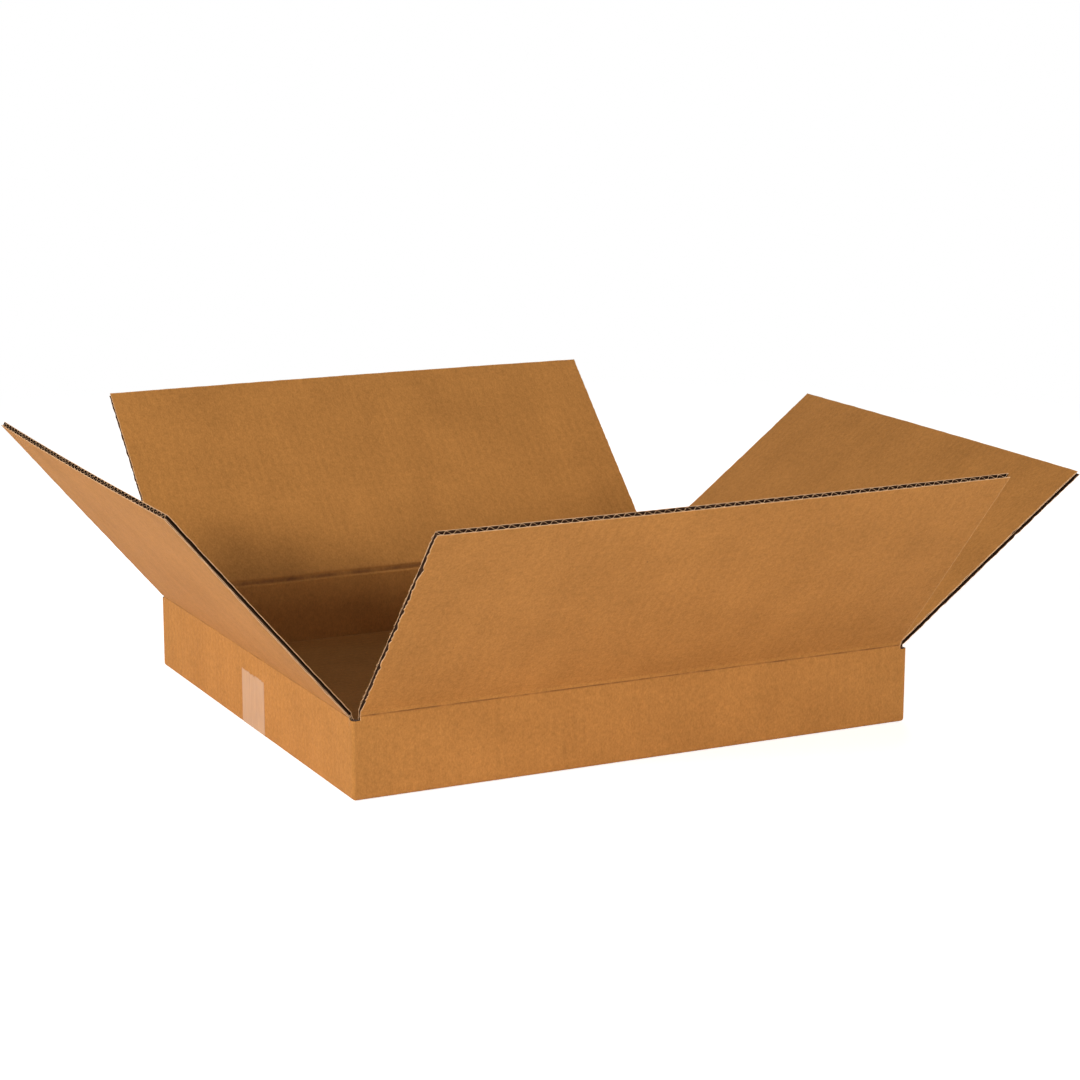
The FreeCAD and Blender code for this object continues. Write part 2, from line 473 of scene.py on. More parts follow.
@dataclass
class BoardSheet:
    """A flat or folded stretch of board with its three layers open at the cut edges."""

    board: Board
    where: Side | Floor
    width: float
    start: float
    end: float
    seed: int
    fray: Fray = field(default_factory=Fray)
    warp: Warp = field(default_factory=Warp)
    score: Score | None = None
    row_step: float = 0.002
    column_step: float = 0.007
    medium_from: float | None = None
    fold_rows: int = 25
    fold_stride: int = 3

    def columns(self) -> Array:
        """The liner grid's places across the sheet: close at both cut edges, even between."""
        last = self.width / 2 - EDGE_STEPS[-1]
        count = int(round(2 * last / self.column_step))
        middle = np.linspace(-last, last, count + 1)[1:-1]
        half = self.width / 2
        return np.concatenate([-half + EDGE_STEPS, middle, half - EDGE_STEPS[::-1]])

    def rows(self, step: float) -> Array:
        """The grid's places from the root to the free edge: close at the fold and the edge."""
        if self.score is None:
            root = np.array([self.start])
        else:
            root = np.linspace(self.start, -self.start, self.fold_rows)
        last = self.end - EDGE_STEPS[-1]
        count = int(round((last - root[-1]) / step))
        middle = np.linspace(root[-1], last, count + 1)[1:-1]
        return np.concatenate([root, middle, self.end - EDGE_STEPS[::-1]])

    def crush(self, s: Array, r: Array, inner: bool) -> Array:
        """How far the fold presses a face towards the middle of the board.

        The inner face has a broad band of even depth that wavers a little, and the outer
        face a narrow groove.

        Args:
            s: Along the crease.
            r: Across the crease.
            inner: True for the inner face.

        Returns:
            The depth at each point.
        """
        if self.score is None:
            return np.zeros(np.broadcast(s, r).shape)
        sway = 0.0003 * value_noise(s, 0.021, self.seed + 5)
        depth = 1.0 + 0.16 * value_noise(s, 0.006, self.seed + 6)
        if inner:
            band = bell(r + sway, self.score.inner_at, self.score.inner_half)
            return self.score.inner_depth * depth * np.minimum(1.0, 1.9 * band)
        groove = bell(r + sway, self.score.outer_at, self.score.outer_half)
        return self.score.outer_depth * depth * groove

    def marks(self, s: Array, r: Array, inner: bool) -> Array:
        """How deep in the crease's painted shade, how frayed and how shaded the liner is at each point, each
        from 0 to 1.

        Args:
            s: Across the sheet.
            r: Along the sheet.
            inner: True for the liner inside the box.

        Returns:
            Three numbers for each point.
        """
        edge = np.minimum(self.width / 2 - np.abs(s), self.end - r)
        frayed = np.clip(1.0 - edge / 0.0022, 0.0, 1.0)
        crease_shade = np.zeros(np.broadcast(s, r).shape)
        if self.score is not None:
            half = self.score.inner_half if inner else self.score.outer_half
            centre = self.score.inner_at if inner else self.score.outer_at
            uneven = 0.75 + 0.25 * value_noise(s, 0.008, self.seed + 7)
            # Painted shade along the fold: a mask over the crushed score, a little uneven along it
            crease_shade = bell(r, centre, half * 1.15) * uneven * self.score.strength
        shaded = 0.5 + 0.5 * value_noise(s + 0.31 * r, 0.05, self.seed + 8)
        return np.stack(np.broadcast_arrays(crease_shade, frayed, shaded), axis=-1)

    def liner(self, builder: MeshBuilder, inner: bool) -> None:
        """Adds one liner as a closed sheet whose cut edges waver where they are torn.

        Args:
            builder: Where the sheet goes.
            inner: True for the liner on the inside of the box.
        """
        seed = self.seed + (20 if inner else 40)
        s, r = np.meshgrid(self.columns(), self.rows(self.row_step))
        side_edge = np.clip(1.0 - (self.width / 2 - np.abs(s)) / 0.003, 0.0, 1.0)
        tip_edge = np.clip(1.0 - (self.end - r) / 0.003, 0.0, 1.0)
        free = np.clip((r - max(self.start, 0.0)) / 0.006, 0.0, 1.0)
        torn = np.where(s < 0.0, self.fray.low_side, self.fray.high_side)
        rough = 0.6 * value_noise(r, 0.0019, seed) + 0.4 * value_noise(r, 0.0046, seed + 1)
        rough = rough - 0.6 * np.maximum(value_noise(r, 0.0117, seed + 2) - 0.45, 0.0)
        grow_s = np.sign(s) * side_edge**2 * torn * rough * free
        nick = self.fray.nick_depth * bell(r, self.fray.nick_at, self.fray.nick_half)
        grow_s = grow_s + np.where(s < 0.0, side_edge**2 * nick, 0.0)
        grow_r = tip_edge**2 * self.fray.tip * value_noise(s, 0.0034, seed + 3)
        lift = 0.45 * side_edge * torn * value_noise(r, 0.0045, seed + 4) * free
        place_s, place_r = s + grow_s, r + grow_r
        offset = self.warp.offset(s, r, self.width, self.where.reach)
        crush = self.crush(s, r, inner)
        sign = 1.0 if inner else -1.0
        face = sign * (self.board.thickness / 2 - crush) + lift + offset
        back = sign * (self.board.thickness / 2 - crush - self.board.liner) + lift + offset
        builder.sheet(
            self.where.place(place_s, place_r, face),
            self.where.place(place_s, place_r, back),
            self.where.coords(s, r),
            self.marks(s, r, inner),
            # The liner's back, inside the flutes, takes the medium's painted shade
            (Face.LINER, Face.MEDIUM_SHADE, Face.CUT),
        )

    def medium(self, builder: MeshBuilder) -> None:
        """Adds the fluted medium: a cosine wave across the sheet, pressed flat in the fold.

        Its phase puts a crest against the inner liner at the low side's cut edge, so that the
        cut shows one long hollow, dark with the medium's painted shade. The wave's height and pitch waver
        slightly.

        Args:
            builder: Where the sheet goes.
        """
        half = self.width / 2
        count = int(self.width / self.board.pitch * self.board.samples)
        across = np.linspace(-half, half, count + 1)
        rows = self.rows(0.035)
        if self.score is not None:
            fold = rows[: self.fold_rows : self.fold_stride]
            rows = np.concatenate([fold, rows[self.fold_rows :]])
        if self.medium_from is not None:
            rows = np.concatenate([[self.medium_from], rows[rows > self.medium_from + 0.001]])
        s, r = np.meshgrid(across, rows)
        sway = 0.00022 * value_noise(s, 0.019, self.seed + 60)
        phase = 2.0 * math.pi * ((s + half + sway) / self.board.pitch + 0.25)
        room = np.minimum(
            self.board.thickness / 2 - self.crush(s, r, True),
            self.board.thickness / 2 - self.crush(s, r, False),
        )
        swing = room - self.board.liner - self.board.medium / 2
        swing = swing * (0.97 + 0.03 * value_noise(s, 0.013, self.seed + 61))
        wave = np.sin(phase)
        wave = wave * (1.18 - 0.18 * wave**2)
        offset = self.warp.offset(s, r, self.width, self.where.reach)
        middle = swing * np.clip(wave, -1.0, 1.0) + offset
        steep = 1.0 + 0.35 * np.abs(np.cos(phase))
        half_sheet = self.board.medium / 2 * steep
        back = np.clip((r - self.end + 0.0005) / 0.0005, 0.0, 1.0)
        place_r = r - back * (0.0002 + 0.00018 * value_noise(s, 0.0021, self.seed + 62))
        marks = np.zeros(s.shape + (3,))
        builder.sheet(
            self.where.place(s, place_r, middle + half_sheet),
            self.where.place(s, place_r, middle - half_sheet),
            self.where.coords(s, r),
            marks,
            (Face.MEDIUM_SHADE, Face.MEDIUM_SHADE, Face.CUT),
        )

    def build(self, builder: MeshBuilder) -> None:
        """Adds both liners and the medium."""
        self.liner(builder, True)
        self.liner(builder, False)
        self.medium(builder)


class Socket:
    """A shader socket that takes part in sums, differences, products and quotients."""

    def __init__(self, graph: "Graph", out: bpy.types.NodeSocket) -> None:
        """Wraps an output socket of a node in the graph."""
        self.graph = graph
        self.out = out

    def math(self, operation: str, *others: "Socket | float", first: bool = True) -> "Socket":
        """Adds a Math node on this value and the others.

        Args:
            operation: The Math node's operation.
            others: The other values.
            first: True if this value comes before the others.

        Returns:
            The result.
        """
        values = [self, *others] if first else [*others, self]
        return self.graph.node("ShaderNodeMath", {"operation": operation}, dict(enumerate(values)))

    def __add__(self, other: "Socket | float") -> "Socket":
        """The sum."""
        return self.math("ADD", other)

    def __radd__(self, other: float) -> "Socket":
        """The sum, with a number first."""
        return self.math("ADD", other)

    def __sub__(self, other: "Socket | float") -> "Socket":
        """The difference."""
        return self.math("SUBTRACT", other)

    def __rsub__(self, other: float) -> "Socket":
        """The difference, with a number first."""
        return self.math("SUBTRACT", other, first=False)

    def __mul__(self, other: "Socket | float") -> "Socket":
        """The product."""
        return self.math("MULTIPLY", other)

    def __rmul__(self, other: float) -> "Socket":
        """The product, with a number first."""
        return self.math("MULTIPLY", other)


class Graph:
    """The node tree of a material or of the world, written as calls and expressions."""

    def __init__(self, owner: bpy.types.Material | bpy.types.World) -> None:
        """Starts the owner's tree empty."""
        self.owner = owner
        self.owner.use_nodes = True
        self.tree = owner.node_tree
        self.tree.nodes.clear()

    def fill(self, socket: bpy.types.NodeSocket, value: Any) -> None:
        """Links a socket, or sets its value."""
        if isinstance(value, Socket):
            self.tree.links.new(value.out, socket)
        elif isinstance(value, tuple) and len(value) == 3 and len(socket.default_value) == 4:
            socket.default_value = (*value, 1.0)
        else:
            socket.default_value = value

    def node(
        self,
        kind: str,
        settings: dict[str, Any] | None = None,
        values: dict[int | str, Any] | None = None,
        output: int | str = 0,
    ) -> Socket:
        """Adds a node.

        Args:
            kind: The node's type.
            settings: Its properties, set first.
            values: What its sockets hold or are linked to.
            output: Which output is given back.

        Returns:
            That output.
        """
        made = self.tree.nodes.new(kind)
        for key, value in (settings or {}).items():
            setattr(made, key, value)
        for key, value in (values or {}).items():
            self.fill(made.inputs[key], value)
        return Socket(self, made.outputs[output])

    def noise(self, vector: Socket, scale: float, detail: float = 2.0, rough: float = 0.5) -> Socket:
        """A noise pattern on a vector, about 0.5 in the mean."""
        values = {"Vector": vector, "Scale": scale, "Detail": detail, "Roughness": rough}
        return self.node("ShaderNodeTexNoise", {}, values, "Fac")

    def step(self, value: Socket, low: float, high: float) -> Socket:
        """A smooth step from 0 at low to 1 at high."""
        settings = {"interpolation_type": "SMOOTHSTEP"}
        return self.node("ShaderNodeMapRange", settings, {0: value, 1: low, 2: high})

    def mix(self, share: Any, first: Any, second: Any) -> Socket:
        """A colour between two, by share."""
        settings = {"data_type": "RGBA"}
        return self.node("ShaderNodeMix", settings, {0: share, 6: first, 7: second}, 2)

    def stretched(self, vector: Socket, scale: Colour) -> Socket:
        """The vector times a scale for each axis."""
        return self.node("ShaderNodeVectorMath", {"operation": "MULTIPLY"}, {0: vector, 1: scale})

    def bump(self, height: Socket, distance: float, strength: float = 1.0) -> Socket:
        """A bumped normal from a height, with its depth in metres."""
        values = {"Height": height, "Distance": distance, "Strength": strength}
        return self.node("ShaderNodeBump", {}, values)

    def finish(self, values: dict[str, Any]) -> bpy.types.Material:
        """Ends the graph in a Principled shader with those sockets."""
        shader = self.node("ShaderNodeBsdfPrincipled", {}, values)
        return self.surface(shader)

    def surface(self, shader: Socket) -> bpy.types.Material | bpy.types.World:
        """Links a shader to the owner's surface."""
        kind = "World" if isinstance(self.owner, bpy.types.World) else "Material"
        made = self.tree.nodes.new(f"ShaderNodeOutput{kind}")
        self.fill(made.inputs["Surface"], shader)
        return self.owner


@dataclass(frozen=True)
class KraftLiner:
    """Matte brown liner paper: fibre mottling, specks, faint stripes of painted shade at the pitch of the
    flutes, and painted shade along the scored creases.
    """

    name: str = "kraft_liner"
    dark: Colour = (0.270, 0.1105, 0.0215)
    light: Colour = (0.608, 0.2605, 0.0600)
    # The score colour is painted shade along the scored creases
    score: Colour = (0.120, 0.046, 0.014)
    fray: Colour = (0.640, 0.335, 0.130)
    speck: Colour = (0.100, 0.045, 0.020)
    pitch: float = 0.0078

    def material(self) -> bpy.types.Material:
        """Builds the material on the piece's own board map, in metres."""
        g = Graph(bpy.data.materials.new(self.name))
        board = g.node("ShaderNodeUVMap", {"uv_map": "board"})
        across = g.node("ShaderNodeSeparateXYZ", {}, {0: board}, 0)
        marks = g.node("ShaderNodeAttribute", {"attribute_name": "marks"}, {}, "Vector")
        crease_shade = g.node("ShaderNodeSeparateXYZ", {}, {0: marks}, 0)
        frayed = g.node("ShaderNodeSeparateXYZ", {}, {0: marks}, 1)
        fibre = g.noise(g.stretched(board, (1.0, 0.6, 1.0)), 760.0, 4.0, 0.66)
        mottle = g.noise(g.stretched(board, (1.0, 0.7, 1.0)), 260.0, 3.0, 0.6)
        cloud = g.noise(board, 17.0, 3.0, 0.6)
        wide = g.noise(g.stretched(board, (1.0, 0.25, 1.0)), 38.0, 2.0, 0.5)
        wave = (across * (2.0 * math.pi / self.pitch)).math("COSINE")
        patchy = g.step(g.noise(board, 9.0, 1.0, 0.5), 0.42, 0.62)
        # Faint stripes at the pitch of the flutes: painted shade of the washboard ridges, which the bump
        # also raises
        flute_shade = wave * (0.006 + 0.022 * patchy)
        tone = 0.5 + (fibre - 0.5) * 0.95 + (mottle - 0.5) * 0.62 + (cloud - 0.5) * 0.42
        tone = tone + (wide - 0.5) * 0.26 + flute_shade
        colour = g.mix(tone, self.dark, self.light)
        cells = g.node("ShaderNodeTexVoronoi", {}, {"Vector": board, "Scale": 46.0}, "Distance")
        sparse = g.step(g.noise(board, 31.0, 0.0), 0.60, 0.66)
        speck = (1.0 - g.step(cells, 0.018, 0.034)) * sparse
        colour = g.mix(speck * 0.8, colour, self.speck)
        ragged = g.step(g.noise(board, 1400.0, 3.0, 0.7) * 0.5 + frayed * 0.75, 0.72, 0.95)
        colour = g.mix(ragged * 0.75, colour, self.fray)
        # Painted shade darkens the liner along the crushed crease
        crease_shade_tone = crease_shade * (0.72 + 0.5 * (g.noise(board, 260.0, 3.0, 0.6) - 0.5))
        colour = g.mix(g.step(crease_shade_tone, 0.06, 1.05), colour, self.score)
        height = (fibre - 0.5) * 0.55 + (mottle - 0.5) * 0.6 + wave * 0.30
        rough = 0.80 - 0.08 * (cloud - 0.5) - 0.10 * (fibre - 0.5)
        return g.finish(
            {
                "Base Color": colour,
                "Roughness": rough,
                "Specular IOR Level": 0.25,
                "Normal": g.bump(height, 0.00009),
            }
        )


@dataclass(frozen=True)
class PulpFinish:
    """Bare paper pulp where the board is cut, or the rough medium between the liners, painted dark as the
    shade of its hollows.
    """

    name: str
    dark: Colour
    light: Colour
    depth: float = 0.00012

    def material(self) -> bpy.types.Material:
        """Builds the material on Object coordinates, because a cut face has no board map."""
        g = Graph(bpy.data.materials.new(self.name))
        place = g.node("ShaderNodeTexCoord", {}, {}, "Object")
        fluff = g.noise(place, 1500.0, 4.0, 0.7)
        patch = g.noise(place, 160.0, 2.0, 0.5)
        tone = 0.5 + (fluff - 0.5) * 1.4 + (patch - 0.5) * 0.7
        return g.finish(
            {
                "Base Color": g.mix(tone, self.dark, self.light),
                "Roughness": 0.92,
                "Specular IOR Level": 0.2,
                "Normal": g.bump(fluff, self.depth),
            }
        )


@dataclass(frozen=True)
class TapeFilm:
    """Thin packing tape over kraft: paler than the board, with a satin film on top and painted shadow along
    both edges.
    """

    name: str = "tape_film"
    dark: Colour = (0.380, 0.183, 0.068)
    light: Colour = (0.565, 0.303, 0.135)
    # The rim colour is painted shadow along the tape's edges
    rim: Colour = (0.330, 0.150, 0.055)
    half_width: float = 0.024

    def material(self) -> bpy.types.Material:
        """Builds the material on the tape's own map: u across the strip and v along it."""
        g = Graph(bpy.data.materials.new(self.name))
        strip = g.node("ShaderNodeUVMap", {"uv_map": "board"})
        streak = g.noise(g.stretched(strip, (1.0, 0.10, 1.0)), 330.0, 3.0, 0.6)
        bubble = g.noise(strip, 120.0, 3.0, 0.6)
        cloud = g.noise(strip, 30.0, 2.0, 0.5)
        tone = 0.5 + (streak - 0.5) * 0.9 + (bubble - 0.5) * 0.5 + (cloud - 0.5) * 0.5
        height = (streak - 0.5) * 0.6 + (bubble - 0.5) * 0.8
        across = g.node("ShaderNodeSeparateXYZ", {}, {0: strip}, 0).math("ABSOLUTE")
        # Painted shadow along both edges of the strip
        rim = g.step(across, self.half_width - 0.0011, self.half_width)
        return g.finish(
            {
                "Base Color": g.mix(rim * 0.75, g.mix(tone, self.dark, self.light), self.rim),
                "Roughness": 0.36 + 0.2 * (bubble - 0.5),
                "Specular IOR Level": 0.2,
                "Coat Weight": 0.1,
                "Coat Roughness": 0.2,
                "Normal": g.bump(height, 0.00010),
            }
        )


@dataclass
class Finishes:
    """The box's materials, each made once."""

    board: list[bpy.types.Material]
    tape: bpy.types.Material

    @classmethod
    def make(cls) -> "Finishes":
        """Makes the liner, the cut pulp, the medium and the tape."""
        # The medium's colour is painted shade: far darker than its paper, so that the hollows between the
        # liners read as deep as they are
        cut = PulpFinish("cut_pulp", (0.50, 0.27, 0.125), (0.82, 0.52, 0.30))
        medium = PulpFinish("fluted_medium", (0.030, 0.013, 0.006), (0.095, 0.042, 0.018))
        board = [KraftLiner().material(), cut.material(), medium.material()]
        return cls(board=board, tape=TapeFilm().material())


@dataclass
class WallRing:
    """The four walls as one folded band with round corners and a round foot."""

    half_length: float
    half_width: float
    board: Board
    fold_radius: float = 0.0025
    lift: float = 0.00012
    step: float = 0.006
    inner_radius: float = 0.0005
    post: float = 0.0055
    arc_points: int = 5

    def corner_stops(self, half: float) -> Array:
        """Places along half a wall, from its middle to where the corner's arc starts."""
        limit = half - self.post
        count = int(round(limit / self.step))
        return np.concatenate([np.linspace(0.0, limit, count + 1), [half - self.fold_radius]])

    def path(self, inset: float) -> tuple[Array, Array]:
        """The band's line round the box at a distance in from its outer face.

        Each wall is straight up to its corner posts. The corner is a quarter circle of the
        fold radius less the inset, or of the inner radius where that is more.

        Args:
            inset: The distance in from the outer face.

        Returns:
            The points in X and Y, and the distance round the outside, one for each point.
        """
        radius = max(self.fold_radius - inset, self.inner_radius)
        points, around = [], []
        start = 0.0
        halves = (self.half_length, self.half_width, self.half_length, self.half_width)
        for turn, half in enumerate(halves):
            beside = halves[(turn + 1) % 4]
            outer = self.corner_stops(half)
            limit = half - self.post
            last = half - inset - radius
            inner = np.interp(outer, [0.0, limit, outer[-1]], [0.0, limit, max(last, limit)])
            s = np.concatenate([-inner[:0:-1], inner])
            u = np.concatenate([-outer[:0:-1], outer])
            wall = np.stack([s, np.full(len(s), -(beside - inset))], axis=-1)
            angle = np.linspace(0.0, math.pi / 2, self.arc_points + 2)[1:-1]
            arc = np.stack([np.sin(angle), -np.cos(angle)], axis=-1) * radius
            arc = arc + [half - inset - radius, -(beside - inset - radius)]
            arc_u = half - self.fold_radius + angle * self.fold_radius
            both = np.concatenate([wall, arc])
            quarter = turn * math.pi / 2
            spin = np.array(
                [
                    [math.cos(quarter), -math.sin(quarter)],
                    [math.sin(quarter), math.cos(quarter)],
                ]
            )
            points.append(both @ spin.T)
            around.append(start + half + np.concatenate([u, arc_u]))
            start += 2.0 * half
        return np.concatenate(points), np.concatenate(around)

    def section(self, low: float, high: float, foot: bool) -> tuple[Array, Array, Ints]:
        """The band's section as insets and heights: up outside, over, down inside.

        Args:
            low: The section's lowest height.
            high: Its highest.
            foot: True for the round fold at the foot of the wall.

        Returns:
            The insets, the heights, and the finish of each stretch.
        """
        thick = self.board.thickness
        rows = 9
        rise = np.linspace(low + self.fold_radius if foot else low, high, rows)
        inside = np.linspace(high, low, rows)
        insets = np.concatenate([np.zeros(rows), np.full(rows, thick)])
        heights = np.concatenate([rise, inside])
        faces = np.full(2 * rows, Face.LINER.value)
        # The band's top edge takes the medium's painted shade of the open flutes
        faces[rows - 1] = Face.MEDIUM_SHADE.value
        if foot:
            angle = np.linspace(0.0, math.pi / 2, 6)[:-1]
            insets = np.concatenate([self.fold_radius * (1.0 - np.sin(angle)), insets])
            heights = np.concatenate([low + self.fold_radius * (1.0 - np.cos(angle)), heights])
            faces = np.concatenate([np.full(len(angle), Face.LINER.value), faces])
        else:
            faces[-1] = Face.CUT.value
        return insets, heights, faces

    def band(self, builder: MeshBuilder, low: float, high: float, foot: bool, stretch: slice | None) -> None:
        """Adds a band of wall, all round or over one stretch of the path.

        Args:
            builder: Where the band goes.
            low: The band's lowest height.
            high: Its highest.
            foot: True for the round fold at its foot.
            stretch: The path steps it takes, or None for all of them.
        """
        insets, heights, faces = self.section(low, high, foot)
        columns = [self.path(inset) for inset in insets]
        flat = np.stack([points for points, _ in columns], axis=1)
        around = np.stack([u for _, u in columns], axis=1)
        rise = np.broadcast_to(heights, flat.shape[:2])
        points = np.concatenate([flat, rise[..., None]], axis=-1)
        coords = np.stack([around, rise], axis=-1)
        if stretch is not None:
            take = np.arange(stretch.start, stretch.stop) % len(points)
            points, coords = points[take], coords[take]
        marks = np.zeros(points.shape)
        builder.tube(points, coords, marks, faces, closed=stretch is None)

    def long_stretches(self) -> list[slice]:
        """The path steps from post to post over the front wall and over the back wall."""
        long, short = (
            2 * len(self.corner_stops(half)) - 1 + self.arc_points
            for half in (self.half_length, self.half_width)
        )
        before, after = self.arc_points + 2, 2
        starts = (2 * (long + short), long + short)
        return [slice(start - before, start + long + after) for start in starts]


@dataclass
class GlueTab:
    """The glued tab inside the back wall, folded in from the right wall."""

    ring: WallRing
    width: float = 0.035
    thickness: float = 0.003
    low: float = 0.0111
    high: float = 0.0557
    slant: float = 0.012

    def build(self, builder: MeshBuilder) -> None:
        """Adds the tab as a thin plate whose top and foot run together towards its free edge."""
        root = self.ring.half_length - self.ring.board.thickness
        face = self.ring.half_width - self.ring.board.thickness
        share, rise = np.meshgrid(np.linspace(0.0, 1.0, 9), np.linspace(0.0, 1.0, 9))
        low = self.low + self.slant * share
        high = self.high - self.slant * share
        x = root - self.width * share
        z = low + (high - low) * rise
        press = 0.0006 * share**4
        front = np.stack([x, np.full(x.shape, face) - self.thickness + press, z], axis=-1)
        back = np.stack([x, np.full(x.shape, face), z], axis=-1)
        edge = np.minimum(1.0 - share, np.minimum(rise, 1.0 - rise))
        marks = np.stack([np.zeros(x.shape), np.clip(1.0 - edge / 0.07, 0.0, 1.0), x * 0.0], axis=-1)
        coords = np.stack([x + 1.3, z], axis=-1)
        builder.sheet(front, back, coords, marks, (Face.LINER, Face.LINER, Face.CUT))


@dataclass
class TapeStrip:
    """The strip along the bottom seam, turned up on both end walls and torn off there."""

    half_length: float
    centre: float
    width: float
    climb: float
    fold_radius: float = 0.0025
    thickness: float = 0.00009
    tooth: float = 0.0024
    seed: int = 300

    def line(self, q: Array, spread: float) -> Array:
        """The strip's line in X and Z: along the floor, round the foot and up the end wall.

        The distance q runs from the middle of the floor, below 0 to the left.

        Args:
            q: The distance along the strip's inner face.
            spread: How far out from that face.

        Returns:
            Points in X and Z.
        """
        flat = self.half_length - self.fold_radius
        arc = self.fold_radius * math.pi / 2
        along = np.abs(q)
        angle = np.clip((along - flat) / self.fold_radius, 0.0, math.pi / 2)
        rise = np.maximum(along - flat - arc, 0.0)
        reach = self.fold_radius + spread
        x = np.minimum(along, flat) + reach * np.sin(angle)
        z = self.thickness - reach * np.cos(angle) + self.fold_radius + rise
        return np.stack([np.sign(q) * x, z], axis=-1)

    def rows(self) -> Array:
        """The places along the strip: close at the torn ends and round the foot."""
        flat = self.half_length - self.fold_radius
        arc = self.fold_radius * math.pi / 2
        top = flat + arc + self.climb - self.fold_radius
        half = np.concatenate(
            [
                np.linspace(0.0, flat, 40)[:-1],
                np.linspace(flat, flat + arc, 7)[:-1],
                np.linspace(flat + arc, top, 30),
            ]
        )
        return np.concatenate([-half[:0:-1], half])

    def build(self, builder: MeshBuilder) -> None:
        """Adds the strip: it ends in a row of uneven teeth, and lifts in a few small wrinkles."""
        across = np.linspace(-self.width / 2, self.width / 2, 97)
        w, q = np.meshgrid(across, self.rows())
        q_end = np.abs(q).max()
        near_end = np.clip(1.0 - (q_end - np.abs(q)) / 0.010, 0.0, 1.0)
        saw = np.abs((w / self.tooth) % 1.0 - 0.5) * 2.0
        tear = 0.0011 * saw + 0.0012 * (0.5 + 0.5 * value_noise(w, 0.007, self.seed))
        tear = tear + 0.0006 * value_noise(w, 0.0013, self.seed + 1)
        place_q = q - np.sign(q) * near_end**2 * tear
        fold = np.maximum(value_noise(w + 0.35 * q, 0.0030, self.seed + 2) - 0.35, 0.0)
        band = np.maximum(value_noise(q - 0.2 * w, 0.012, self.seed + 3), 0.0)
        wall = np.clip((np.abs(q) - self.half_length) / 0.01, 0.0, 1.0)
        lift = 0.00030 * fold * band * wall + 0.00012 * near_end**3 * np.abs(saw - 0.5)
        inner = self.line(place_q, 0.0)
        outer = self.line(place_q, self.thickness)
        outward = (outer - inner) / self.thickness
        front = outer + outward * lift[..., None]
        back = inner + outward * (lift * 0.8)[..., None]
        y = self.centre + w
        builder.sheet(
            np.stack([front[..., 0], y, front[..., 1]], axis=-1),
            np.stack([back[..., 0], y, back[..., 1]], axis=-1),
            np.stack([w, q], axis=-1),
            np.zeros(w.shape + (3,)),
            (Face.LINER, Face.LINER, Face.LINER),
        )


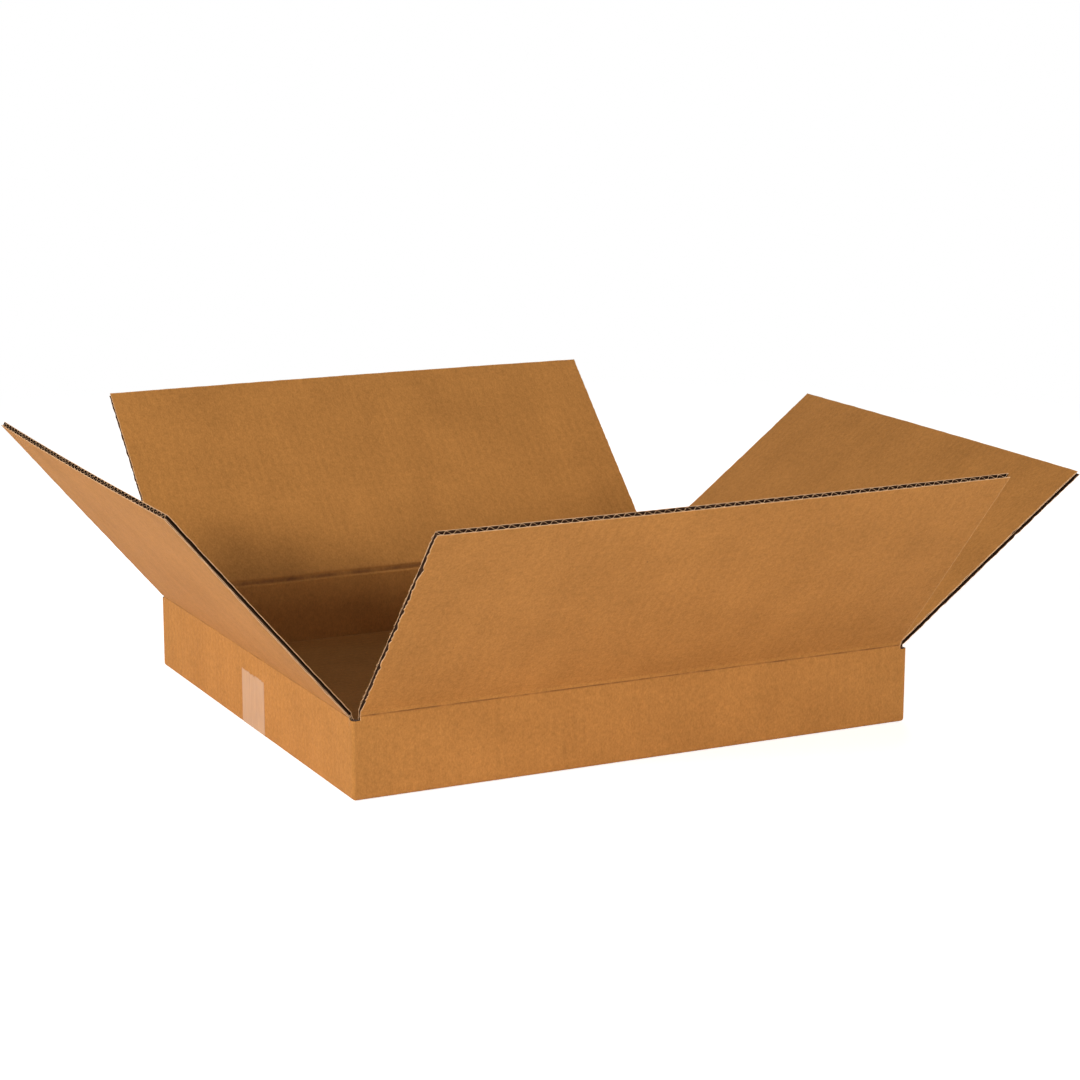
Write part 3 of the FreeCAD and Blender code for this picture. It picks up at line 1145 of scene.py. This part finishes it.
@dataclass
class Box:
    """The whole box: its walls, its bottom, its four flaps and its tape.

    The root is how far below the axis a flap's sheet starts, and the crease is half the length
    of its bend. The blend share sets two points on each side of the axis, which nothing takes up.
    """

    frame: dict[str, Any]
    finishes: Finishes
    board: Board = field(default_factory=Board)
    root: float = 0.0062
    crease: float = 0.00313
    blend_share: float = 0.7

    def __post_init__(self) -> None:
        """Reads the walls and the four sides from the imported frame."""
        low, high = (np.array(corner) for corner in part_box("box_body"))
        self.half_length = float(high[0])
        self.half_width = float(high[1])
        joints = {joint["child"]: joint for joint in self.frame["joints"]}
        starts = np.cumsum([self.half_length, *[self.half_length + self.half_width] * 3])
        names = ("front_flap", "right_flap", "back_flap", "left_flap")
        self.sides = {
            name: Side.from_frame(joints[name], float(start), self.crease, self.board)
            for name, start in zip(names, starts)
        }
        self.ring = WallRing(self.half_length, self.half_width, self.board)

    def flap_sheet(self, name: str) -> BoardSheet:
        """A top flap with the wear that the photograph shows on it."""
        side = self.sides[name]
        frays = {
            "front_flap": Fray(low_side=0.0009, nick_at=0.167, nick_depth=0.0014),
            "right_flap": Fray(low_side=0.0005, nick_at=0.131, nick_depth=0.0008),
            "back_flap": Fray(low_side=0.0003, high_side=0.0005),
            "left_flap": Fray(low_side=0.0003, high_side=0.0004),
        }
        warps = {
            "front_flap": Warp(bow=-0.0008),
            "right_flap": Warp(bow=0.0010, twist=0.0015),
            "back_flap": Warp(bow=0.0012, curl=0.0008),
            "left_flap": Warp(bow=-0.0012, curl=0.0012),
        }
        long_score = Score()
        short_score = Score(inner_at=0.0, outer_at=0.0010, outer_half=0.0020, strength=0.95)
        return BoardSheet(
            board=self.board,
            where=side,
            width=side.width,
            start=-self.root,
            end=side.reach,
            seed=100 * (1 + list(self.sides).index(name)),
            row_step=0.001 if name == "front_flap" else 0.002,
            fray=frays[name],
            warp=warps[name],
            score=long_score if side.is_long else short_score,
        )

    def make_flap(self, name: str) -> bpy.types.Object:
        """Makes a top flap, splayed at its joint's lean, and hides the frame's own flap.

        Args:
            name: The flap's node.

        Returns:
            The piece.
        """
        side = self.sides[name]
        builder = MeshBuilder()
        self.flap_sheet(name).build(builder)
        piece = builder.make(f"{name}_board", self.finishes.board)
        half_lean = side.lean / 2
        step = side.outward * math.sin(half_lean) + UP * math.cos(half_lean)
        step = step * side.crease * self.blend_share
        tuple(side.pivot - step)
        tuple(side.pivot + step)
        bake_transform(piece)
        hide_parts(name)
        return piece

    def make_body(self) -> bpy.types.Object:
        """Makes the walls, the bottom flaps and the tab as one folded piece."""
        builder = MeshBuilder()
        short_top = self.sides["left_flap"].pivot[2] - self.root
        long_top = self.sides["front_flap"].pivot[2] - self.root
        self.ring.band(builder, self.ring.lift, short_top, True, None)
        for stretch in self.ring.long_stretches():
            self.ring.band(builder, short_top, long_top, False, stretch)
        for index, (name, side) in enumerate(self.sides.items()):
            above_long = self.board.thickness + 2 * self.ring.lift
            height = self.ring.lift if side.is_long else above_long
            reach = side.reach - self.board.thickness / 2
            sheet = BoardSheet(
                board=self.board,
                where=Floor(side, height),
                width=side.width,
                start=0.0,
                end=reach,
                seed=600 + 70 * index,
                row_step=0.012,
                column_step=0.010,
                medium_from=reach - 0.03,
            )
            sheet.build(builder)
            LOG.info("bottom flap under %s", name)
        GlueTab(self.ring).build(builder)
        piece = builder.make("box_walls_and_bottom", self.finishes.board)
        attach(piece, BODY)
        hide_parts("box_body")
        return piece

    def make_tape(self) -> bpy.types.Object:
        """Makes the tape strip over the bottom seam."""
        low, high = (np.array(corner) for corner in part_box("bottom_tape"))
        strip = TapeStrip(
            half_length=self.half_length,
            centre=float(low[1] + high[1]) / 2,
            width=float(high[1] - low[1]),
            climb=float(high[2]),
        )
        builder = MeshBuilder()
        strip.build(builder)
        piece = builder.make("bottom_tape_strip", [self.finishes.tape])
        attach(piece, BODY)
        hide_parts("bottom_tape")
        return piece

    def make(self) -> list[bpy.types.Object]:
        """Makes every piece of the box."""
        pieces = [self.make_body(), self.make_tape()]
        pieces += [self.make_flap(name) for name in self.sides]
        return pieces


@dataclass(frozen=True)
class Softbox:
    """A long area lamp, level with the floor, that looks at the box from a bearing and a height."""

    name: str
    azimuth_deg: float
    elevation_deg: float
    power: float
    width: float = 1.3
    height: float = 0.42
    distance: float = 3.0
    aim: Colour = (0.0, 0.0, 0.12)

    def add(self) -> None:
        """Adds the lamp. Azimuth 0 stands in front of the box, and 90 to its right."""
        azimuth, elevation = math.radians(self.azimuth_deg), math.radians(self.elevation_deg)
        back = Vector(
            (
                math.sin(azimuth) * math.cos(elevation),
                -math.cos(azimuth) * math.cos(elevation),
                math.sin(elevation),
            )
        )
        lamp = bpy.data.lights.new(self.name, "AREA")
        lamp.shape = "RECTANGLE"
        lamp.size = self.width
        lamp.size_y = self.height
        lamp.energy = self.power
        holder = bpy.data.objects.new(self.name, lamp)
        holder.location = Vector(self.aim) + back * self.distance
        holder.rotation_mode = "QUATERNION"
        holder.rotation_quaternion = (-back).to_track_quat("-Z", "Y")
        bpy.context.scene.collection.objects.link(holder)


@dataclass
class Studio:
    """The light table, the world and the lamps.

    The table glows softly from below, as a product table does, and more to the camera and in
    reflections. Out from the box these see it fade to plain white, so it has no horizon.
    """

    ambient: float = 0.032
    table_glow: float = 0.05
    seen_glow: float = 0.60
    floor_size: float = 30.0
    floor_drop: float = 0.0003
    fade_from: float = 0.75
    fade_to: float = 1.6
    lamps: tuple[Softbox, ...] = (
        Softbox("lamp_left", -85.0, 25.0, 76.0),
        Softbox("lamp_front", 3.0, 14.8, 42.0),
        Softbox("lamp_right", 62.0, 19.0, 22.0),
        Softbox("lamp_behind", 150.0, 12.0, 36.0),
    )

    def background_rays(self, g: Graph) -> Socket:
        """1 on the rays that show the plain background, and 0 on all others.

        They come from the camera, straight or by way of reflections and glass, and no longer
        count once they have met a matt surface.
        """
        rays = ("Is Camera Ray", "Is Glossy Ray", "Is Transmission Ray")
        camera, glossy, through = (g.node("ShaderNodeLightPath", {}, {}, ray) for ray in rays)
        bounces = g.node("ShaderNodeLightPath", {}, {}, "Diffuse Depth")
        either = camera.math("MAXIMUM", glossy).math("MAXIMUM", through)
        return either * bounces.math("LESS_THAN", 0.5)

    def add_world(self) -> None:
        """A world that is white as a background, and dim and even as a light."""
        world = bpy.data.worlds.new("studio")
        bpy.context.scene.world = world
        g = Graph(world)
        strength = self.ambient + self.background_rays(g) * (1.0 - self.ambient)
        sky = g.node("ShaderNodeBackground", {}, {"Color": (1.0, 1.0, 1.0), "Strength": strength})
        g.surface(sky)

    def add_floor(self) -> None:
        """A white floor that glows, keeps the shadow, and fades to white out from the box."""
        g = Graph(bpy.data.materials.new("studio_floor"))
        seen = self.background_rays(g)
        place = g.node("ShaderNodeTexCoord", {}, {}, "Object")
        away = g.node("ShaderNodeVectorMath", {"operation": "LENGTH"}, {0: place}, "Value")
        white = g.node("ShaderNodeBsdfDiffuse", {}, {"Color": (0.92, 0.92, 0.92, 1.0)})
        strength = self.table_glow + seen * self.seen_glow
        glow = g.node("ShaderNodeEmission", {}, {"Strength": strength})
        lit = g.node("ShaderNodeAddShader", {}, {0: white, 1: glow})
        plain = g.node("ShaderNodeEmission", {}, {"Strength": 1.0})
        faded = g.step(away, self.fade_from, self.fade_to) * seen
        both = g.node("ShaderNodeMixShader", {}, {0: faded, 1: lit, 2: plain})
        g.surface(both)
        half = self.floor_size / 2
        mesh = bpy.data.meshes.new("floor")
        low = -self.floor_drop
        corners = [(-half, -half, low), (half, -half, low), (half, half, low), (-half, half, low)]
        mesh.from_pydata(corners, [], [(0, 1, 2, 3)])
        mesh.materials.append(g.owner)
        floor = bpy.data.objects.new("floor", mesh)
        bpy.context.scene.collection.objects.link(floor)

    def build(self) -> None:
        """Adds the floor, the world and the lamps, and sets the plain view transform."""
        bpy.context.scene.view_settings.view_transform = "Standard"
        self.add_floor()
        self.add_world()
        for lamp in self.lamps:
            lamp.add()


@dataclass(frozen=True)
class Viewpoint:
    """The photograph's camera, worked out from the box's own corners in it."""

    place: Colour = (-0.9393, -1.9283, 0.6009)
    yaw_deg: float = 26.381
    pitch_deg: float = 12.477
    roll_deg: float = -0.118
    focal_pixels: float = 2743.0
    frame_pixels: float = 1080.0
    sensor_mm: float = 36.0

    def add(self) -> None:
        """Adds the camera and makes it the scene's own."""
        yaw, pitch = math.radians(self.yaw_deg), math.radians(self.pitch_deg)
        look = Vector(
            (math.sin(yaw) * math.cos(pitch), math.cos(yaw) * math.cos(pitch), -math.sin(pitch))
        )
        data = bpy.data.cameras.new("camera")
        data.sensor_width = self.sensor_mm
        data.lens = self.focal_pixels / self.frame_pixels * self.sensor_mm
        camera = bpy.data.objects.new("camera", data)
        turn = look.to_track_quat("-Z", "Y") @ Matrix.Rotation(
            math.radians(-self.roll_deg), 3, "Z"
        ).to_quaternion()
        camera.rotation_mode = "QUATERNION"
        camera.rotation_quaternion = turn
        camera.location = Vector(self.place)
        bpy.context.scene.collection.objects.link(camera)
        bpy.context.scene.camera = camera


def main() -> None:
    """Loads the frame, builds the box and its studio, and reports each piece."""
    logging.basicConfig(level=logging.INFO, format="%(name)s: %(message)s")
    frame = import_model()
    Viewpoint().add()
    Studio().build()
    for piece in Box(frame, Finishes.make()).make():
        LOG.info("%s: %d faces", piece.name, len(piece.data.polygons))
    bpy.context.view_layer.update()


if __name__ == "__main__":
    main()
